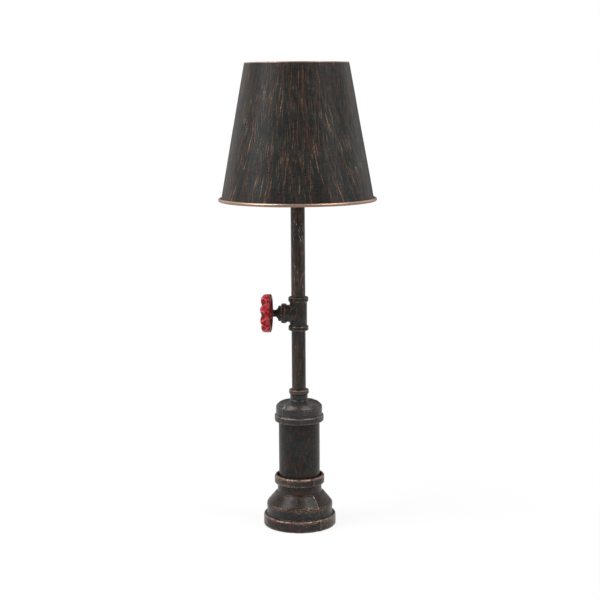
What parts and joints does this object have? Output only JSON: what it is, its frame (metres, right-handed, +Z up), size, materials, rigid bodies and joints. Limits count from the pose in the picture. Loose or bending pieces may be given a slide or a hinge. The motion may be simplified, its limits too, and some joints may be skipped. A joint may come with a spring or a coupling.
{
  "type": "industrial pipe table lamp",
  "caption": "Table lamp made of blackened iron pipe and fittings, with a conical metal shade and a red handwheel on its branch that turns the dimmer.",
  "frame": {"origin": "middle of the foot, on the table", "axes": "+Z up along the stem; the branch and handwheel point along -X; the cord leaves along +Y at the back"},
  "size_m": [0.2372, 0.2372, 0.7031],
  "materials": {
    "bronzed_casting": "cast iron, blackened, with copper brown rubbed through on the edges",
    "bronzed_pipe": "steel pipe, blackened and rubbed back to copper brown in streaks",
    "bronzed_sheet": "sheet steel, blackened, brushed with copper brown streaks",
    "bronzed_fitting": "blackened turned steel",
    "red_enamel": "cast iron, glossy red enamel with dark patina in the hollows",
    "plain_steel": "zinc plated steel",
    "raw_iron": "raw casting",
    "felt": "black wool felt",
    "black_plastic": "moulded black plastic",
    "white_plastic": "moulded white plastic",
    "brass": "turned and pressed brass",
    "nickel": "rolled bright metal",
    "porcelain": "unglazed porcelain",
    "clear_glass": "clear blown glass",
    "blue_insulation": "blue insulation",
    "brown_insulation": "brown insulation",
    "green_insulation": "green insulation"
  },
  "bodies": {
    "stand": {"base_reducer": "bronzed_casting", "base_plate": "plain_steel", "plate_screws": "plain_steel", "base_weight": "raw_iron", "weight_screw": "plain_steel", "felt_pad": "felt", "cord_gland": "black_plastic", "gland_nut": "black_plastic", "terminal_block": "white_plastic", "terminal_screws": "plain_steel", "block_screw": "plain_steel", "earth_tag": "brass", "earth_screw": "plain_steel", "neutral_wire": "blue_insulation", "supply_wire": "brown_insulation", "switched_wire": "brown_insulation", "earth_wire": "green_insulation", "column_pipe": "bronzed_pipe", "bell_reducer": "bronzed_casting", "lower_riser": "bronzed_pipe", "tee": "bronzed_casting", "upper_riser": "bronzed_pipe", "switch_plug": "bronzed_fitting", "switch_body": "black_plastic", "switch_terminals": "brass", "switch_nut": "bronzed_fitting", "riser_cap": "bronzed_casting", "nipple": "brass", "nipple_nut": "plain_steel", "lampholder_cap": "brass", "lampholder_body": "brass", "lampholder_insert": "porcelain", "centre_contact": "brass", "thread_shell": "brass", "bulb_glass": "clear_glass", "bulb_cap": "nickel", "bulb_insulator": "black_plastic", "bulb_tip": "brass", "bulb_stem": "clear_glass", "shade": "bronzed_sheet", "shade_ring_lower": "black_plastic", "shade_ring_upper": "black_plastic", "shade_spider": "bronzed_sheet"},
    "wheel": {"switch_shaft": "plain_steel", "handwheel": "red_enamel", "wheel_washer": "plain_steel", "wheel_screw": "plain_steel"}
  },
  "joints": [
    {"name": "dimmer_turn", "type": "hinge", "parent": "stand", "child": "wheel", "pos_m": [-0.045, 0, 0.3286], "axis": [-1, 0, 0], "range_deg": [0, 270]}
  ]
}
